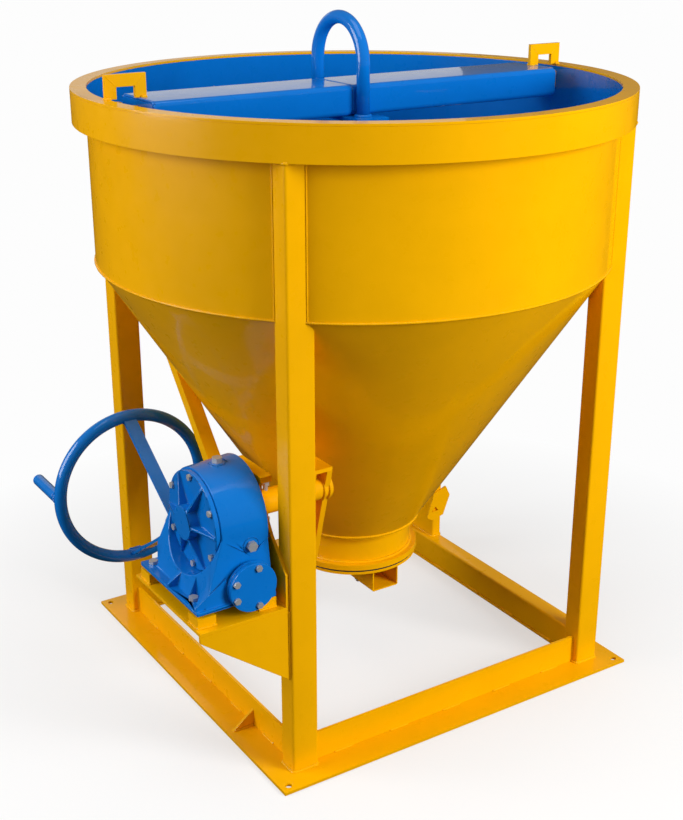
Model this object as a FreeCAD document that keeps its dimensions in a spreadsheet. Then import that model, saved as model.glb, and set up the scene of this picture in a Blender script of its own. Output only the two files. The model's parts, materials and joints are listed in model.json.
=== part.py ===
import FreeCAD, Part
import math
import os
import re
import Sketcher

# Concrete bucket: a round steel hopper on four legs, emptied by a bottom gate.
# The gate hangs from a cross shaft in front of the cone, turned by a worm gearbox.
# Z is up, the floor is z = 0 and the hopper's axis is x = y = 0.

doc = FreeCAD.newDocument("ConcreteBucket")
sheet = doc.addObject("Spreadsheet::Sheet", "Sizes")

SIZES = {
    # Sole plate, legs and rails
    "sole_half": 540,
    "sole_band": 106,
    "sole_thick": 8,
    "sole_hole_radius": 8,
    "sole_hole_inset": 22,
    "leg_face": 484,
    "leg_wide": 70,
    "leg_deep": 55,
    "leg_wall": 4,
    "leg_corner": 6,
    "rail_high": 76,
    "rail_thick": 8,
    "rail_face": 466,
    "box_rail_wide": 50,
    "toe_gusset_place": -250,
    "toe_gusset_long": 60,
    "toe_gusset_high": 45,
    # Post and bracket behind the outlet, on the back right rail
    "post_thick": 31,
    "post_wall": 4,
    "post_start": 232,
    "post_deep": 130,
    "bracket_thick": 8,
    # Hopper and outlet
    "hopper_wall": 5,
    "hopper_radius": 650,
    "seam_height": 1123,
    "cone_foot_radius": 177,
    "cone_foot_height": 388,
    "throat_ring_thick": 8,
    "throat_radius": 157,
    "throat_wall": 5,
    "flange_radius": 176,
    "flange_thick": 15,
    "outlet_height": 289,
    # Rim
    "rim_overhang": 34,
    "rim_top": 1545,
    "rim_high": 82,
    "rim_thick": 6,
    "lug_long": 100,
    "lug_high": 54,
    "lug_bar": 28,
    "lug_thick": 10,
    "lug_inset": 29,
    "web_thick": 12,
    "web_high": 50,
    # Cross beam and lifting bail
    "beam_wide": 170,
    "beam_high": 72,
    "beam_wall": 5,
    "beam_corner": 12,
    "beam_end": 572,
    "splice_place": -60,
    "splice_thick": 6,
    "splice_step": 5,
    "bail_bar": 16,
    "bail_place": -41,
    "bail_top": 1711,
    "bail_plate_long": 290,
    "bail_plate_wide": 90,
    "bail_plate_thick": 10,
    # Gearbox shelf
    "shelf_lip": 5,
    "shelf_front": 475,
    "shelf_back": 142,
    "shelf_top": 455,
    "shelf_thick": 8,
    "gusset_thick": 8,
    "gusset_drop": 185,
    "gusset_nose": 16,
    "block_side": 46,
    "block_high": 25,
    "strut_wide": 36,
    "strut_deep": 30,
    "strut_inset": 409,
    "strut_foot": 182,
    "strut_rise": 465,
    "strut_run": 400,
    # Output shaft, its plate and its hanger
    "axis_front": 308,
    "axis_height": 645,
    "tube_radius": 30,
    "shaft_radius": 22.5,
    "bush_wall": 6,
    "running_gap": 0.05,
    "plate_thick": 8,
    "plate_top": 733,
    "cap_thick": 15,
    "cap_wide": 30,
    "hanger_thick": 12,
    "hanger_place": 374,
    "hanger_half": 42,
    "hanger_foot": 605,
    # Gearbox
    "gear_middle": 568,
    "worm_drop": 120,
    "drum_big": 130,
    "drum_small": 122,
    "drum_back": 512,
    "drum_front": 625,
    "casing_wall": 12,
    "cavity_radius": 106,
    "case_outer": 705,
    "case_inner": 505,
    "case_front": 455,
    "case_back": 161,
    "foot_thick": 15,
    "foot_side": 46,
    "tunnel_radius": 46,
    "worm_cover_radius": 59,
    "worm_cover_thick": 12,
    "side_cover_thick": 12,
    "side_cover_radius": 118,
    "cover_rib_count": 6,
    "cover_rib_thick": 7,
    "cover_hub_radius": 40,
    "cover_hub_high": 26,
    "wheel_bearing_radius": 40,
    "wheel_bearing_wide": 16,
    "worm_bearing_radius": 31,
    "worm_bearing_wide": 17,
    "boss_radius": 52,
    "boss_end": 500,
    "wheel_wide": 36,
    "wheel_tip": 94,
    "wheel_tooth": 9,
    "wheel_teeth": 40,
    "worm_tip": 25.5,
    "worm_tooth": 8,
    "worm_long": 104,
    "worm_shaft_radius": 12.5,
    "worm_lead": 15.7,
    "seal_radius": 17,
    "seal_outer_radius": 31,
    "bolt_radius": 5,
    "bolt_head": 8.5,
    "bolt_head_high": 6,
    "foot_bolt_radius": 7,
    "foot_bolt_head": 12,
    "foot_bolt_high": 8,
    "foot_bolt_inset": 63,
    "plug_radius": 9,
    "plug_head": 13,
    "plug_place": 556,
    "plug_face": 436,
    "plug_height": 614,
    "collar_long": 18,
    "front_wall": 16,
    "pocket_half": 17,
    "pocket_reach": 40,
    "pocket_high": 62,
    "rib_thick": 8,
    "underside_relief": 6,
    # Handwheel
    "ring_radius": 197,
    "ring_bar": 16,
    "ring_plane": 185,
    "hub_radius": 24,
    "hub_long": 44,
    "hub_end": 62,
    "spoke_wide": 34,
    "spoke_thick": 9,
    "hub_nut_radius": 17,
    "hub_nut_high": 16,
    "crank_angle": 177.5,
    "pin_radius": 9,
    "collar_radius": 13,
    "collar_long": 9,
    "grip_radius": 15,
    "grip_long": 134,
    "grip_gap": 0.08,
    # Gate
    "gate_radius": 173,
    "gate_thick": 8,
    "seal_inner": 146,
    "seal_thick": 5,
    "seat_gap": 0.3,
    "gate_tube_wide": 82,
    "gate_tube_high": 60,
    "gate_tube_wall": 4,
    "gate_tube_front": 162,
    "gate_tube_back": 120,
    "arm_right": 286,
    "arm_left": 345,
    "arm_thick": 15,
    "arm_top": 55,
    "arm_nose": 41,
    "arm_heel": 31,
    "arm_foot": 232,
    "arm_foot_high": 36,
    "arm_reach": 75,
    "arm_front_foot": 231,
    "cross_bar_side": 30,
    "cross_bar_place": 35,
    "gate_bolt_radius": 6,
    "gate_bolt_head": 11,
    "gate_bolt_across": 22,
    "gate_bolt_front": 62,
    "gate_bolt_back": 58,
    "coupling_pin_radius": 6,
}


def fill_sheet():
    for row, (alias, value) in enumerate(SIZES.items(), start=1):
        sheet.set(f"A{row}", alias.replace("_", " "))
        sheet.set(f"B{row}", str(value))
        sheet.setAlias(f"B{row}", alias)
    doc.recompute()


fill_sheet()
WORD = re.compile(r"[a-z][a-z_0-9]*")


def size(alias):
    return float(sheet.get(alias))


def link(piece, prop, formula):
    """Bind a property to a formula in which the sheet's sizes stand as bare words."""
    text = WORD.sub(lambda found: "Sizes." + found[0] if found[0] in SIZES else found[0], str(formula))
    piece.setExpression(prop, text)


# Formulas that several pieces share
INNER_RADIUS = "(hopper_radius - hopper_wall)"
RIM_RADIUS = "(hopper_radius + rim_overhang)"
SHELF_REACH = "(case_outer + shelf_lip)"
LEG_TOP = "(rim_top - rim_high)"
RAIL_TOP = "(sole_thick + rail_high)"
BEAM_BOTTOM = "(rim_top - beam_high)"
WORM_HEIGHT = "(axis_height - worm_drop)"
CASE_BOTTOM = "(shelf_top + block_high)"
CASE_LONG = "(case_front - case_back)"
GATE_TOP = "(outlet_height - seat_gap - seal_thick)"
GATE_TUBE_TOP = "(outlet_height - seat_gap - seal_thick - gate_thick)"
SPACE_RADIUS = "(tube_radius + running_gap)"

TURNS = {
    "z": FreeCAD.Rotation(),
    "x": FreeCAD.Rotation(FreeCAD.Vector(0, 1, 0), 90),
    "y": FreeCAD.Rotation(FreeCAD.Vector(1, 0, 0), -90),
    "down": FreeCAD.Rotation(FreeCAD.Vector(1, 0, 0), 180),
    "-x": FreeCAD.Rotation(FreeCAD.Vector(0, 1, 0), -90),
    "-y": FreeCAD.Rotation(FreeCAD.Vector(1, 0, 0), 90),
}
nodes = []


def node(piece, name):
    piece.Label = name
    nodes.append(piece)
    return piece


def place(piece, x=0, y=0, z=0, turn="z"):
    piece.Placement = FreeCAD.Placement(FreeCAD.Vector(), TURNS[turn])
    link(piece, "Placement.Base.x", x)
    link(piece, "Placement.Base.y", y)
    link(piece, "Placement.Base.z", z)
    return piece


def box(x, y, z, x_to, y_to, z_to):
    """A block between two corners, each given as a formula."""
    piece = doc.addObject("Part::Box", "Block")
    link(piece, "Length", f"({x_to}) - ({x})")
    link(piece, "Width", f"({y_to}) - ({y})")
    link(piece, "Height", f"({z_to}) - ({z})")
    return place(piece, x, y, z)


def rod(radius, long, x=0, y=0, z=0, turn="z"):
    piece = doc.addObject("Part::Cylinder", "Rod")
    link(piece, "Radius", radius)
    link(piece, "Height", long)
    return place(piece, x, y, z, turn)


def hexagon(radius, long, x=0, y=0, z=0, turn="z"):
    piece = doc.addObject("Part::Prism", "Hexagon")
    piece.Polygon = 6
    link(piece, "Circumradius", radius)
    link(piece, "Height", long)
    return place(piece, x, y, z, turn)


def fuse(*pieces):
    joined = doc.addObject("Part::MultiFuse", "Joined")
    joined.Shapes = list(pieces)
    joined.Refine = True
    return joined


def cut(base, *tools):
    for tool in tools:
        result = doc.addObject("Part::Cut", "CutPiece")
        result.Base = base
        result.Tool = tool
        result.Refine = True
        base = result
    return base


def common(first, second):
    result = doc.addObject("Part::Common", "SharedPiece")
    result.Base = first
    result.Tool = second
    result.Refine = True
    return result


def group(*pieces):
    together = doc.addObject("Part::Compound", "Group")
    together.Links = list(pieces)
    return together


def rounded(piece, direction, radius):
    """Round the edges of a block that run along one direction."""
    doc.recompute()
    edges = []
    for number, edge in enumerate(piece.Shape.Edges, start=1):
        if abs(edge.tangentAt(edge.FirstParameter).dot(direction)) > 0.99:
            edges.append((number, radius, radius))
    result = doc.addObject("Part::Fillet", "Rounded")
    result.Base = piece
    result.Edges = edges
    return result


def outline_sketch(body, plane, points):
    """A closed outline whose corners are formulas, on one of the body's own planes."""
    sketch = body.newObject("Sketcher::SketchObject", "Outline")
    planes = [item for item in body.Origin.OriginFeatures if item.Role == plane]
    sketch.AttachmentSupport = [(planes[0], "")]
    sketch.MapMode = "FlatFace"
    count = len(points)
    # A rough polygon comes first. The distances below then pull its corners into place.
    rough = [value_of(point) for point in points]
    for index in range(count):
        start = FreeCAD.Vector(*rough[index], 0)
        end = FreeCAD.Vector(*rough[(index + 1) % count], 0)
        sketch.addGeometry(Part.LineSegment(start, end), False)
    for index in range(count):
        sketch.addConstraint(Sketcher.Constraint("Coincident", index, 2, (index + 1) % count, 1))
    for index, (across, up) in enumerate(points):
        for kind, formula, value in (("DistanceX", across, rough[index][0]), ("DistanceY", up, rough[index][1])):
            number = sketch.addConstraint(Sketcher.Constraint(kind, -1, 1, index, 1, value))
            link(sketch, f"Constraints[{number}]", formula)
    return sketch


probe = doc.addObject("App::FeaturePython", "Probe")
probe.addProperty("App::PropertyFloat", "Across")
probe.addProperty("App::PropertyFloat", "Up")


def value_of(point):
    """The numbers that a pair of formulas gives with the sheet's present sizes."""
    link(probe, "Across", point[0])
    link(probe, "Up", point[1])
    probe.recompute()
    return probe.Across, probe.Up


def plate(plane, points, thick, x=0, y=0, z=0):
    """A flat piece: an outline on a plane, padded along the plane's normal."""
    body = doc.addObject("PartDesign::Body", "Plate")
    sketch = outline_sketch(body, plane, points)
    pad = body.newObject("PartDesign::Pad", "Pad")
    pad.Profile = sketch
    link(pad, "Length", thick)
    return place(body, x, y, z)


def turned(axis, points, x=0, y=0, z=0):
    """A turned piece: (radius, height) for axis z, else (place along the axis, radius)."""
    body = doc.addObject("PartDesign::Body", "Turned")
    plane = "YZ_Plane" if axis == "y" else "XZ_Plane"
    sketch = outline_sketch(body, plane, points)
    spin = body.newObject("PartDesign::Revolution", "Revolution")
    spin.Profile = sketch
    spin.ReferenceAxis = (sketch, ["V_Axis" if axis == "z" else "H_Axis"])
    spin.Angle = 360
    return place(body, x, y, z)


def ring(axis, inner, outer, start, end, x=0, y=0, z=0):
    """A plain ring between two radii and two places along its axis."""
    if axis == "z":
        corners = [(inner, start), (outer, start), (outer, end), (inner, end)]
    else:
        corners = [(start, inner), (end, inner), (end, outer), (start, outer)]
    return turned(axis, corners, x, y, z)


def bolt(radius, head, head_high, long, x, y, z, turn):
    """A hexagon bolt whose head stands behind the point and whose shank goes along the turn."""
    reach = {"z": (0, 0, 1), "x": (1, 0, 0), "y": (0, 1, 0), "down": (0, 0, -1), "-x": (-1, 0, 0), "-y": (0, -1, 0)}
    step = reach[turn]
    head_place = [f"({base}) - ({way}) * ({head_high})" for base, way in zip((x, y, z), step)]
    return fuse(hexagon(head, head_high, *head_place, turn), rod(radius, long, x, y, z, turn))


ALONG_X = FreeCAD.Vector(1, 0, 0)
ALONG_Y = FreeCAD.Vector(0, 1, 0)
ALONG_Z = FreeCAD.Vector(0, 0, 1)


# Sole frame: one flat ring of plate under the whole base
def make_sole():
    outer = box("-sole_half", "-sole_half", 0, "sole_half", "sole_half", "sole_thick")
    half = "(sole_half - sole_band)"
    inner = box(f"-{half}", f"-{half}", "-1", half, half, "sole_thick + 1")
    holes = []
    for side_x in ("-1", "1"):
        for side_y in ("-1", "1"):
            place_x = f"{side_x} * (sole_half - sole_hole_inset)"
            place_y = f"{side_y} * (sole_half - sole_hole_inset)"
            holes.append(rod("sole_hole_radius", "sole_thick + 2", place_x, place_y, "-1"))
    node(cut(outer, inner, *holes), "sole_frame")


# Hopper's outer form, used to cope the pieces that are welded against it
def hopper_core():
    return turned("z", [
        (0, "cone_foot_height"),
        ("cone_foot_radius", "cone_foot_height"),
        ("hopper_radius", "seam_height"),
        ("hopper_radius", "rim_top"),
        (0, "rim_top"),
    ])


def make_legs():
    corners = {"front": ("-1", "-1"), "right": ("1", "-1"), "left": ("-1", "1"), "back": ("1", "1")}
    for name, (side_x, side_y) in corners.items():
        x = "-leg_face" if side_x == "-1" else "leg_face - leg_wide"
        y = "-leg_face" if side_y == "-1" else "leg_face - leg_deep"
        x_to = f"({x}) + leg_wide"
        y_to = f"({y}) + leg_deep"
        outer = rounded(box(x, y, "sole_thick", x_to, y_to, LEG_TOP), ALONG_Z, size("leg_corner"))
        inner = box(f"({x}) + leg_wall", f"({y}) + leg_wall", "sole_thick - 1",
                    f"({x_to}) - leg_wall", f"({y_to}) - leg_wall", f"{LEG_TOP} + 1")
        inner_corner = max(size("leg_corner") - size("leg_wall"), 1)
        bored = cut(outer, rounded(inner, ALONG_Z, inner_corner))
        node(cut(bored, hopper_core()), f"leg_{name}")


def make_rails():
    leg_in_x = "(leg_face - leg_wide)"
    leg_in_y = "(leg_face - leg_deep)"
    front = box(f"-{leg_in_x}", "-rail_face", "sole_thick", leg_in_x, "-rail_face + rail_thick", RAIL_TOP)
    node(front, "rail_front_right")
    left = box("-rail_face", f"-{leg_in_y}", "sole_thick", "-rail_face + rail_thick", leg_in_y, RAIL_TOP)
    node(left, "rail_front_left")
    corner = size("leg_corner")
    x = "(leg_face - box_rail_wide)"
    outer = rounded(box(x, f"-{leg_in_y}", "sole_thick", "leg_face", leg_in_y, RAIL_TOP), ALONG_Y, corner)
    inner = box(f"{x} + leg_wall", f"-{leg_in_y} - 1", "sole_thick + leg_wall",
                "leg_face - leg_wall", f"{leg_in_y} + 1", f"{RAIL_TOP} - leg_wall")
    node(cut(outer, inner), "rail_back_right")
    outer = rounded(box(f"-{leg_in_x}", x, "sole_thick", leg_in_x, "leg_face", RAIL_TOP), ALONG_X, corner)
    inner = box(f"-{leg_in_x} - 1", f"{x} + leg_wall", "sole_thick + leg_wall",
                f"{leg_in_x} + 1", "leg_face - leg_wall", f"{RAIL_TOP} - leg_wall")
    node(cut(outer, inner), "rail_back_left")
    toe = plate("XZ_Plane", [
        ("-rail_face", "sole_thick"),
        ("-rail_face", "sole_thick + toe_gusset_high"),
        ("-rail_face - toe_gusset_long", "sole_thick"),
    ], "rail_thick", 0, "toe_gusset_place", 0)
    node(toe, "toe_gusset")


def make_post():
    """The second post on the back right rail, with its gusset bracket."""
    inside = "(leg_face - post_thick)"
    end = "(post_start + post_deep)"
    outer = rounded(box(inside, "post_start", RAIL_TOP, "leg_face", end, "seam_height"),
                    ALONG_Z, size("leg_corner"))
    inner = box(f"{inside} + post_wall", "post_start + post_wall", f"{RAIL_TOP} - 1",
                "leg_face - post_wall", f"{end} - post_wall", "seam_height + 1")
    node(cut(outer, inner, hopper_core()), "rear_post")
    # The bracket lies flat on the post's front face. Corners are (across from the post's
    # inner edge, up from the rail) in millimetres.
    corners = [(-28, 73), (-10, 61), (34, 71), (58, 133), (43, 165), (-4, 148)]
    window = [(-14, 89), (15, 90), (3, 104)]
    outlines = []
    for outline in (corners, window):
        outlines.append([(f"{inside} + ({across})", f"{RAIL_TOP} + {up}") for across, up in outline])
    bracket = plate("XZ_Plane", outlines[0], "bracket_thick", 0, "post_start", 0)
    hole = plate("XZ_Plane", outlines[1], "bracket_thick + 2", 0, "post_start + 1", 0)
    node(cut(bracket, hole), "post_bracket")


def make_hopper():
    cylinder = ring("z", INNER_RADIUS, "hopper_radius", "seam_height", "rim_top - rim_thick")
    node(cylinder, "hopper_cylinder")
    cone = turned("z", [
        ("cone_foot_radius - hopper_wall", "cone_foot_height"),
        ("cone_foot_radius", "cone_foot_height"),
        ("hopper_radius", "seam_height"),
        (INNER_RADIUS, "seam_height"),
    ])
    node(cone, "hopper_cone")
    bore = "(throat_radius - throat_wall)"
    ring_foot = "(cone_foot_height - throat_ring_thick)"
    node(ring("z", bore, "cone_foot_radius", ring_foot, "cone_foot_height"), "throat_ring")
    node(ring("z", bore, "throat_radius", "outlet_height", ring_foot), "outlet_throat")
    flange_top = "(outlet_height + flange_thick)"
    node(ring("z", "throat_radius", "flange_radius", "outlet_height", flange_top), "outlet_flange")


def make_rim():
    inner = f"({RIM_RADIUS} - rim_thick)"
    node(ring("z", INNER_RADIUS, RIM_RADIUS, "rim_top - rim_thick", "rim_top"), "rim_top_ring")
    node(ring("z", inner, RIM_RADIUS, LEG_TOP, "rim_top - rim_thick"), "rim_band")
    node(ring("z", "hopper_radius", inner, LEG_TOP, f"{LEG_TOP} + rim_thick"), "rim_bottom_ring")
    top = "(rim_top + lug_high)"
    under = "(rim_top + lug_high - lug_bar)"
    pieces = []
    for side in ("-1", "1"):
        far = f"({side} * ({RIM_RADIUS} - lug_inset))"
        near = f"({side} * ({RIM_RADIUS} - lug_inset - lug_long))"
        far_in = f"({far} - {side} * lug_bar)"
        near_in = f"({near} + {side} * lug_bar)"
        # Three flat bars with mitred corners, like a picture frame without its lower side
        for bar in (
            [(far, "rim_top"), (far_in, "rim_top"), (far_in, under), (far, top)],
            [(far, top), (far_in, under), (near_in, under), (near, top)],
            [(near, top), (near_in, under), (near_in, "rim_top"), (near, "rim_top")],
        ):
            pieces.append(plate("XZ_Plane", bar, "lug_thick", 0, "lug_thick / 2", 0))
        # The web under each lug ties the beam's end plate to the hopper wall.
        start, end = ("-hopper_radius", "-beam_end - splice_thick")
        if side == "1":
            start, end = ("beam_end + splice_thick", "hopper_radius")
        foot = f"({BEAM_BOTTOM} + splice_step)"
        web = box(start, "-web_thick / 2", foot, end, "web_thick / 2", f"{foot} + web_high")
        pieces.append(common(web, rod(INNER_RADIUS, "rim_top")))
    node(group(*pieces), "rim_lugs")


def beam_tube(x, x_to):
    """One half of the cross beam, coped to the inside of the hopper."""
    outer = box(x, "-beam_wide / 2", BEAM_BOTTOM, x_to, "beam_wide / 2", "rim_top")
    outer = rounded(outer, ALONG_X, size("beam_corner"))
    inner = box(f"({x}) - 1", "-beam_wide / 2 + beam_wall", f"{BEAM_BOTTOM} + beam_wall",
                f"({x_to}) + 1", "beam_wide / 2 - beam_wall", "rim_top - beam_wall")
    inner = rounded(inner, ALONG_X, max(size("beam_corner") - size("beam_wall"), 1))
    return common(cut(outer, inner), rod(INNER_RADIUS, "rim_top"))


def make_beam():
    half = "splice_thick / 2"
    node(beam_tube("-beam_end", f"splice_place - {half}"), "beam_left")
    node(beam_tube(f"splice_place + {half}", "beam_end"), "beam_right")
    plates = []
    for start in ("-beam_end - splice_thick", f"splice_place - {half}", "beam_end"):
        plates.append(box(start, "-beam_wide / 2 + splice_step", f"{BEAM_BOTTOM} + splice_step",
                          f"{start} + splice_thick", "beam_wide / 2 - splice_step", "rim_top - splice_step"))
    node(group(*plates), "beam_plates")
    pad = box("bail_place - bail_plate_wide / 2", "-bail_plate_long / 2", f"{BEAM_BOTTOM} - bail_plate_thick",
              "bail_place + bail_plate_wide / 2", "bail_plate_long / 2", BEAM_BOTTOM)
    node(pad, "bail_base_plate")
    bend = "(beam_wide / 2 + bail_bar + seat_gap)"
    arc = doc.addObject("Part::Torus", "BailArc")
    link(arc, "Radius1", bend)
    link(arc, "Radius2", "bail_bar")
    arc.Angle3 = 180
    arc.Placement.Rotation = FreeCAD.Rotation(FreeCAD.Vector(1, 1, 1), 120)
    arc_height = f"(bail_top - bail_bar - {bend})"
    link(arc, "Placement.Base.x", "bail_place")
    link(arc, "Placement.Base.z", arc_height)
    near = rod("bail_bar", f"{arc_height} - {BEAM_BOTTOM}", "bail_place", f"-{bend}", BEAM_BOTTOM)
    far = rod("bail_bar", f"{arc_height} - {BEAM_BOTTOM}", "bail_place", bend, BEAM_BOTTOM)
    node(fuse(arc, near, far), "lifting_bail")


def make_shelf():
    leg_in_x = "(leg_face - leg_wide)"
    leg_in_y = "(leg_face - leg_deep)"
    shelf = plate("XY_Plane", [
        (f"-{SHELF_REACH}", "-shelf_front"),
        ("-leg_face", "-shelf_front"),
        ("-leg_face", f"-{leg_in_y}"),
        (f"-{leg_in_x}", f"-{leg_in_y}"),
        (f"-{leg_in_x}", "-shelf_back"),
        (f"-{SHELF_REACH}", "-shelf_back"),
    ], "shelf_thick", 0, 0, "shelf_top - shelf_thick")
    under = "(shelf_top - shelf_thick)"
    gusset = plate("XZ_Plane", [
        (f"-{SHELF_REACH}", under),
        (f"-{SHELF_REACH}", f"{under} - gusset_nose"),
        ("-leg_face", f"{under} - gusset_drop"),
        ("-leg_face", under),
    ], "gusset_thick", 0, "-shelf_front + gusset_thick", 0)
    node(gusset, "shelf_gusset")
    # The strut runs from the shelf's inner corner up to the side of the cone.
    deep = "(strut_deep * sqrt(strut_rise * strut_rise + strut_run * strut_run) / strut_rise)"
    strut = plate("YZ_Plane", [
        (f"-strut_foot + {deep}", "shelf_top"),
        ("-strut_foot", "shelf_top"),
        ("-strut_foot + strut_run", "shelf_top + strut_rise"),
        (f"-strut_foot + {deep} + strut_run", "shelf_top + strut_rise"),
    ], "strut_wide", "-strut_inset - strut_wide", 0, 0)
    node(cut(strut, hopper_core()), "shelf_strut")
    return shelf


def foot_centres(front_inset, back_inset):
    """Four places over the gearbox feet, as formulas."""
    outer = "-(case_outer - foot_side / 2)"
    inner = "-(case_inner + foot_side / 2)"
    front = f"-(case_front - {front_inset})"
    back = f"-(case_back + {back_inset})"
    return [(x, y) for x in (outer, inner) for y in (front, back)]


def make_blocks_and_foot_bolts(shelf):
    """Spacer blocks under the feet's corners, and bolts through feet and shelf."""
    blocks, bolts, holes = [], [], []
    bottom = "(shelf_top - shelf_thick)"
    shank = "(foot_thick + block_high + shelf_thick)"
    for x, y in foot_centres("foot_bolt_inset", "foot_side / 2"):
        holes.append(rod("foot_bolt_radius", shank, x, y, bottom))
        stud = bolt("foot_bolt_radius", "foot_bolt_head", "foot_bolt_high", f"{shank} + 14",
                    x, y, f"{CASE_BOTTOM} + foot_thick", "down")
        nut = cut(hexagon("foot_bolt_head", "foot_bolt_high * 1.3", x, y, bottom, "down"),
                  rod("foot_bolt_radius", 30, x, y, bottom, "down"))
        bolts += [stud, nut]
    worm_space = rod("worm_cover_radius + 1", "case_front + 10", "-gear_middle", "-case_front - 5",
                     WORM_HEIGHT, "y")
    for x, y in foot_centres("foot_side / 2", "foot_side / 2"):
        block = box(f"({x}) - block_side / 2", f"({y}) - block_side / 2", "shelf_top",
                    f"({x}) + block_side / 2", f"({y}) + block_side / 2", CASE_BOTTOM)
        blocks.append(cut(block, worm_space, *holes))
    node(group(*blocks), "spacer_blocks")
    node(group(*bolts), "foot_bolts")
    node(cut(shelf, *holes), "gearbox_shelf")
    return holes


def make_bearing_plate():
    back = "(shelf_back + 18)"
    face = plate("YZ_Plane", [
        ("-shelf_front", "shelf_top"),
        ("-shelf_front", "shelf_top + 82"),
        ("-(axis_front + 104)", "axis_height - 36"),
        ("-(axis_front + 54)", "axis_height + 45"),
        ("-(axis_front + 54)", "plate_top"),
        ("-(axis_front - 58)", "plate_top"),
        ("-(axis_front - 108)", "axis_height - 45"),
        (f"-{back}", "shelf_top + 45"),
        (f"-{back}", "shelf_top"),
    ], "plate_thick", "-leg_face - plate_thick", 0, 0)
    outer = f"({SPACE_RADIUS} + bush_wall)"
    hole = rod(outer, "plate_thick + 2", "-leg_face - plate_thick - 1", "-axis_front", "axis_height", "x")
    slab = cut(face, hole)
    cap = box("-leg_face - plate_thick / 2 - cap_wide / 2", "-(axis_front + 81)", "plate_top",
              "-leg_face - plate_thick / 2 + cap_wide / 2", "-(axis_front - 58)", "plate_top + cap_thick")
    node(fuse(slab, cap), "bearing_plate")
    bush = ring("x", SPACE_RADIUS, outer, "-leg_face - plate_thick - 4", "-leg_face + 4",
                0, "-axis_front", "axis_height")
    plate_bush = bush
    x = "-(hanger_place + hanger_thick / 2)"
    hanger = box(x, "-(axis_front + hanger_half)", "hanger_foot",
                 f"{x} + hanger_thick", "-(axis_front - hanger_half)", "seam_height - 200")
    hole = rod(outer, "hanger_thick + 2", f"{x} - 1", "-axis_front", "axis_height", "x")
    node(cut(hanger, hopper_core(), hole), "shaft_hanger")
    bush = ring("x", SPACE_RADIUS, outer, f"{x} - 4", f"{x} + hanger_thick + 4", 0, "-axis_front", "axis_height")
    node(group(plate_bush, bush), "shaft_bushes")


def side_bolt_places():
    count = int(size("cover_rib_count"))
    radius = "(side_cover_radius - 11)"
    places = []
    for index in range(count):
        angle = 30 + index * 360 / count
        places.append((f"-axis_front + {radius} * cos({angle})", f"axis_height + {radius} * sin({angle})"))
    return places


def worm_bolt_places():
    radius = "(worm_cover_radius - 11)"
    return [(f"-gear_middle + {radius} * cos({angle})", f"{WORM_HEIGHT} + {radius} * sin({angle})")
            for angle in (75, 155, 205, 285)]


def make_cover_bolts():
    """Bolts of the side cover and of both worm covers, and the holes that they need."""
    bolts, holes = [], []
    face = "-(drum_front + side_cover_thick)"
    deep = "(side_cover_thick + 22)"
    for y, z in side_bolt_places():
        bolts.append(bolt("bolt_radius", "bolt_head", "bolt_head_high", deep, face, y, z, "x"))
        holes.append(rod("bolt_radius", deep, face, y, z, "x"))
    deep = "(worm_cover_thick + 10)"
    front = "-(case_front + worm_cover_thick)"
    back = "-(case_back - worm_cover_thick)"
    for x, z in worm_bolt_places():
        bolts.append(bolt("bolt_radius", "bolt_head", "bolt_head_high", deep, x, front, z, "y"))
        holes.append(rod("bolt_radius", deep, x, front, z, "y"))
        bolts.append(bolt("bolt_radius", "bolt_head", "bolt_head_high", deep, x, back, z, "-y"))
        holes.append(rod("bolt_radius", deep, x, back, z, "-y"))
    node(group(*bolts), "cover_bolts")
    return holes


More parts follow.
